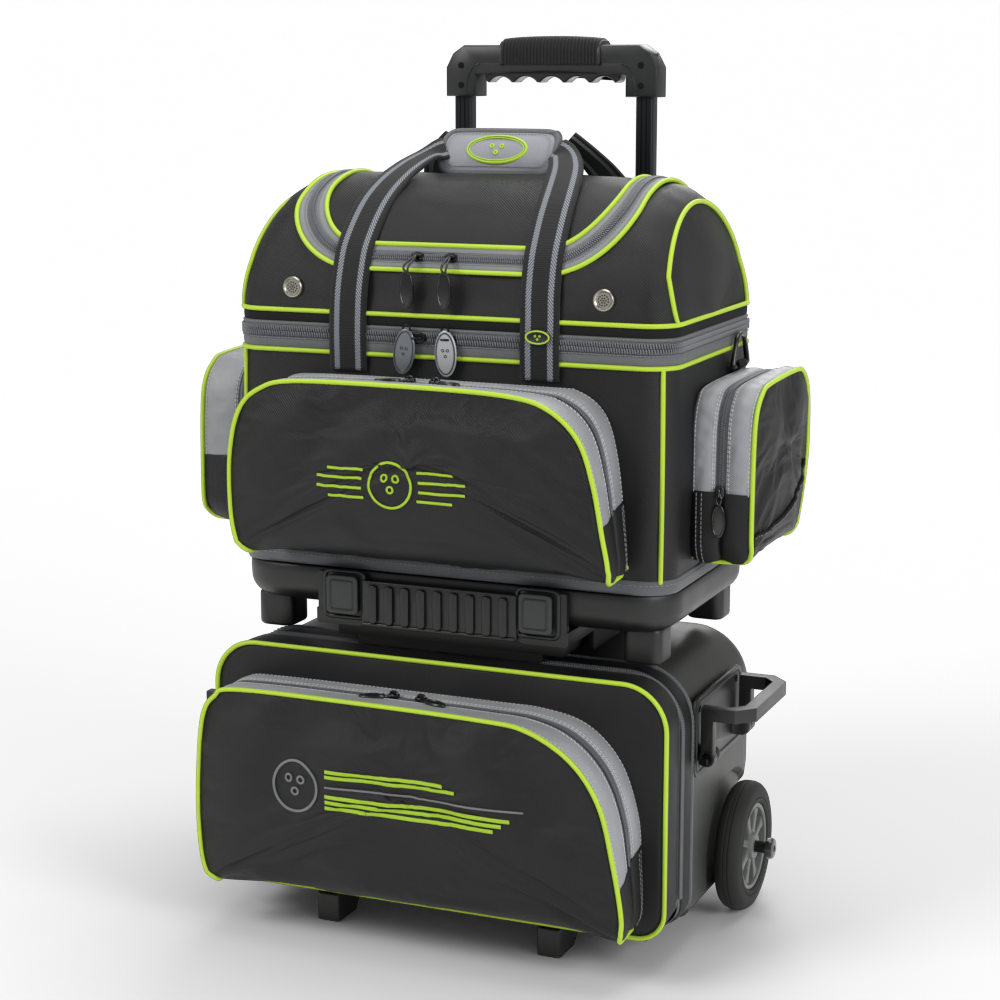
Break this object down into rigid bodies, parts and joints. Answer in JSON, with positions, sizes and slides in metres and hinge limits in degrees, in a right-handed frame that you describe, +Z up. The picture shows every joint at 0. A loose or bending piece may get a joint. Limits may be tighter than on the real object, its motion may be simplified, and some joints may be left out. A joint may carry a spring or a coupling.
{
  "type": "rolling bowling bag",
  "caption": "Two-tier rolling bowling bag: hard-shelled ball case on side wheels, docked soft tote with dome lid and zip pockets, webbing handles and a telescopic pull handle.",
  "frame": {"origin": "on the floor, at the centre of the bag's bounding box in X and Y, as it stands on its two front feet and two wheels", "axes": "+X to the bag's right as seen from the front, +Y from its front pocket towards the pull handle, +Z up"},
  "size_m": [0.581, 0.379, 0.851],
  "materials": {
    "shell_plastic": "satin",
    "black_plastic": "satin",
    "black_fabric": "woven twill",
    "silver_fabric": "woven twill",
    "lining": "plain weave",
    "foam": "brushed foam",
    "webbing": "ribbed webbing",
    "piping": "satin",
    "zip_tape": "woven tape",
    "badge": "satin",
    "nickel": "brushed",
    "pull_metal": "satin",
    "black_metal": "satin",
    "tube_metal": "satin",
    "tyre_rubber": "matte",
    "hub_plastic": "satin",
    "grip_rubber": "matte",
    "pad_plastic": "satin"
  },
  "bodies": {
    "case": {"case_shell": "shell_plastic", "case_front_frame": "black_fabric", "ball_cradle": "foam", "front_foot_left": "black_plastic", "front_foot_right": "black_plastic", "axle_left": "black_plastic", "axle_right": "black_plastic", "side_plate_left": "black_plastic", "side_plate_right": "black_plastic", "dock_rail": "black_plastic", "tube_outer_left": "tube_metal", "tube_outer_right": "tube_metal", "handle_bracket_lower": "black_plastic", "handle_bracket_upper": "black_plastic"},
    "wheel_left": {"tyre_left": "tyre_rubber", "hub_left": "hub_plastic"},
    "wheel_right": {"tyre_right": "tyre_rubber", "hub_right": "hub_plastic"},
    "handle_mid": {"tube_mid_left": "tube_metal", "tube_mid_right": "tube_metal"},
    "handle_inner": {"tube_inner_left": "tube_metal", "tube_inner_right": "tube_metal", "grip_housing": "black_plastic", "grip_sleeve": "grip_rubber"},
    "trigger": {"grip_trigger": "black_plastic"},
    "bail_left": {"side_handle_left": "black_plastic"},
    "bail_right": {"side_handle_right": "black_plastic"},
    "door": {"case_door": "black_fabric", "lower_pocket_gusset": "silver_fabric"},
    "lower_pocket": {"lower_pocket_cover": "black_fabric"},
    "tote": {"tote_tray": "black_plastic", "tote_body": "black_fabric", "tote_rear_panel": "black_fabric", "tote_ball_pad": "foam", "tote_pocket_gusset": "silver_fabric", "side_pocket_gusset_left": "silver_fabric", "side_pocket_gusset_right": "silver_fabric", "latch_carriage": "black_plastic"},
    "tote_pocket": {"tote_pocket_cover": "black_fabric"},
    "side_pocket_left": {"side_pocket_cover_left": "black_fabric"},
    "side_pocket_right": {"side_pocket_cover_right": "black_fabric"},
    "ring_left": {"d_ring_left": "black_plastic"},
    "ring_right": {"d_ring_right": "black_plastic"},
    "lever": {"latch_lever": "black_plastic"},
    "button_left": {"latch_button_left": "pad_plastic"},
    "button_right": {"latch_button_right": "pad_plastic"},
    "lid": {"lid_dome": "black_fabric", "lid_floor": "lining", "vent_left": "nickel", "vent_right": "nickel"},
    "flap": {"top_flap": "black_fabric"},
    "strap_front": {"strap_front": "webbing", "handle_wrap": "silver_fabric"},
    "strap_rear": {"strap_rear": "webbing"},
    "main_pull_left": {"main_pull_left": "pull_metal"},
    "main_pull_right": {"main_pull_right": "pull_metal"},
    "top_pull_left": {"top_pull_left": "black_metal"},
    "top_pull_right": {"top_pull_right": "black_metal"}
  },
  "joints": [
    {"name": "wheel_left_spin", "type": "hinge", "parent": "case", "child": "wheel_left", "pos_m": [-0.246, 0.07, 0.064], "axis": [1, 0, 0], "continuous": true},
    {"name": "wheel_right_spin", "type": "hinge", "parent": "case", "child": "wheel_right", "pos_m": [0.246, 0.07, 0.064], "axis": [1, 0, 0], "continuous": true},
    {"name": "handle_mid_slide", "type": "slide", "parent": "case", "child": "handle_mid", "axis": [0, 0, 1], "range_m": [-0.0775, 0.11]},
    {"name": "handle_inner_slide", "type": "slide", "parent": "handle_mid", "child": "handle_inner", "axis": [0, 0, 1], "range_m": [-0.0775, 0.11]},
    {"name": "grip_trigger_press", "type": "slide", "parent": "handle_inner", "child": "trigger", "axis": [0, 0, 1], "range_m": [0, 0.004]},
    {"name": "tote_undock", "type": "slide", "parent": "case", "child": "tote", "axis": [0, -1, 0], "range_m": [0, 0.3]},
    {"name": "latch_lever_pull", "type": "hinge", "parent": "tote", "child": "lever", "pos_m": [0, -0.1191, 0.345], "axis": [-1, 0, 0], "range_deg": [0, 20]},
    {"name": "latch_button_left_press", "type": "slide", "parent": "tote", "child": "button_left", "axis": [0, 1, 0], "range_m": [0, 0.003]},
    {"name": "latch_button_right_press", "type": "slide", "parent": "tote", "child": "button_right", "axis": [0, 1, 0], "range_m": [0, 0.003]},
    {"name": "side_handle_left_swing", "type": "hinge", "parent": "case", "child": "bail_left", "pos_m": [-0.244, 0.0135, 0.188], "axis": [0, 1, 0], "range_deg": [0, 90]},
    {"name": "side_handle_right_swing", "type": "hinge", "parent": "case", "child": "bail_right", "pos_m": [0.244, 0.0135, 0.188], "axis": [0, 1, 0], "range_deg": [0, 90]},
    {"name": "case_door_open", "type": "hinge", "parent": "case", "child": "door", "pos_m": [0, -0.1325, 0.036], "axis": [1, 0, 0], "range_deg": [0, 40]},
    {"name": "lower_pocket_open", "type": "hinge", "parent": "door", "child": "lower_pocket", "pos_m": [0, -0.1585, 0.048], "axis": [1, 0, 0], "range_deg": [0, 20]},
    {"name": "tote_pocket_open", "type": "hinge", "parent": "tote", "child": "tote_pocket", "pos_m": [0, -0.1365, 0.374], "axis": [1, 0, 0], "range_deg": [0, 25]},
    {"name": "side_pocket_left_open", "type": "hinge", "parent": "tote", "child": "side_pocket_left", "pos_m": [-0.2502, 0.0465, 0.374], "axis": [0, -1, 0], "range_deg": [0, 25]},
    {"name": "side_pocket_right_open", "type": "hinge", "parent": "tote", "child": "side_pocket_right", "pos_m": [0.2502, 0.0465, 0.374], "axis": [0, 1, 0], "range_deg": [0, 25]},
    {"name": "d_ring_left_swing", "type": "hinge", "parent": "tote", "child": "ring_left", "pos_m": [-0.2285, 0.0815, 0.5435], "axis": [0, -1, 0], "range_deg": [0, 85]},
    {"name": "d_ring_right_swing", "type": "hinge", "parent": "tote", "child": "ring_right", "pos_m": [0.2285, 0.0815, 0.5435], "axis": [0, 1, 0], "range_deg": [0, 85]},
    {"name": "lid_open", "type": "hinge", "parent": "tote", "child": "lid", "pos_m": [0, 0.1375, 0.65], "axis": [-1, 0, 0], "range_deg": [0, 40]},
    {"name": "top_flap_open", "type": "hinge", "parent": "lid", "child": "flap", "pos_m": [0, 0.0985, 0.6976], "axis": [-1, 0, 0], "range_deg": [0, 20]},
    {"name": "strap_front_fold", "type": "hinge", "parent": "tote", "child": "strap_front", "pos_m": [0, -0.1099, 0.547], "axis": [1, 0, 0], "range_deg": [0, 90]},
    {"name": "strap_rear_fold", "type": "hinge", "parent": "lid", "child": "strap_rear", "pos_m": [0, 0.1215, 0.684], "axis": [-1, 0, 0], "range_deg": [0, 20]},
    {"name": "main_pull_left_swing", "type": "hinge", "parent": "lid", "child": "main_pull_left", "pos_m": [-0.031, -0.111, 0.586], "axis": [-1, 0, 0], "range_deg": [0, 90]},
    {"name": "top_pull_left_swing", "type": "hinge", "parent": "lid", "child": "top_pull_left", "pos_m": [-0.03, -0.1115, 0.645], "axis": [-1, 0, 0], "range_deg": [0, 90]},
    {"name": "main_pull_right_swing", "type": "hinge", "parent": "lid", "child": "main_pull_right", "pos_m": [0.003, -0.111, 0.586], "axis": [-1, 0, 0], "range_deg": [0, 90]},
    {"name": "top_pull_right_swing", "type": "hinge", "parent": "lid", "child": "top_pull_right", "pos_m": [0.004, -0.1115, 0.645], "axis": [-1, 0, 0], "range_deg": [0, 90]}
  ],
  "couplings": [
    {"joint": "handle_inner_slide", "follows": "handle_mid_slide", "ratio": 1},
    {"joint": "top_flap_open", "follows": "lid_open", "ratio": 0.5},
    {"joint": "strap_front_fold", "follows": "lid_open", "ratio": 2.25},
    {"joint": "strap_rear_fold", "follows": "lid_open", "ratio": 0.35}
  ]
}
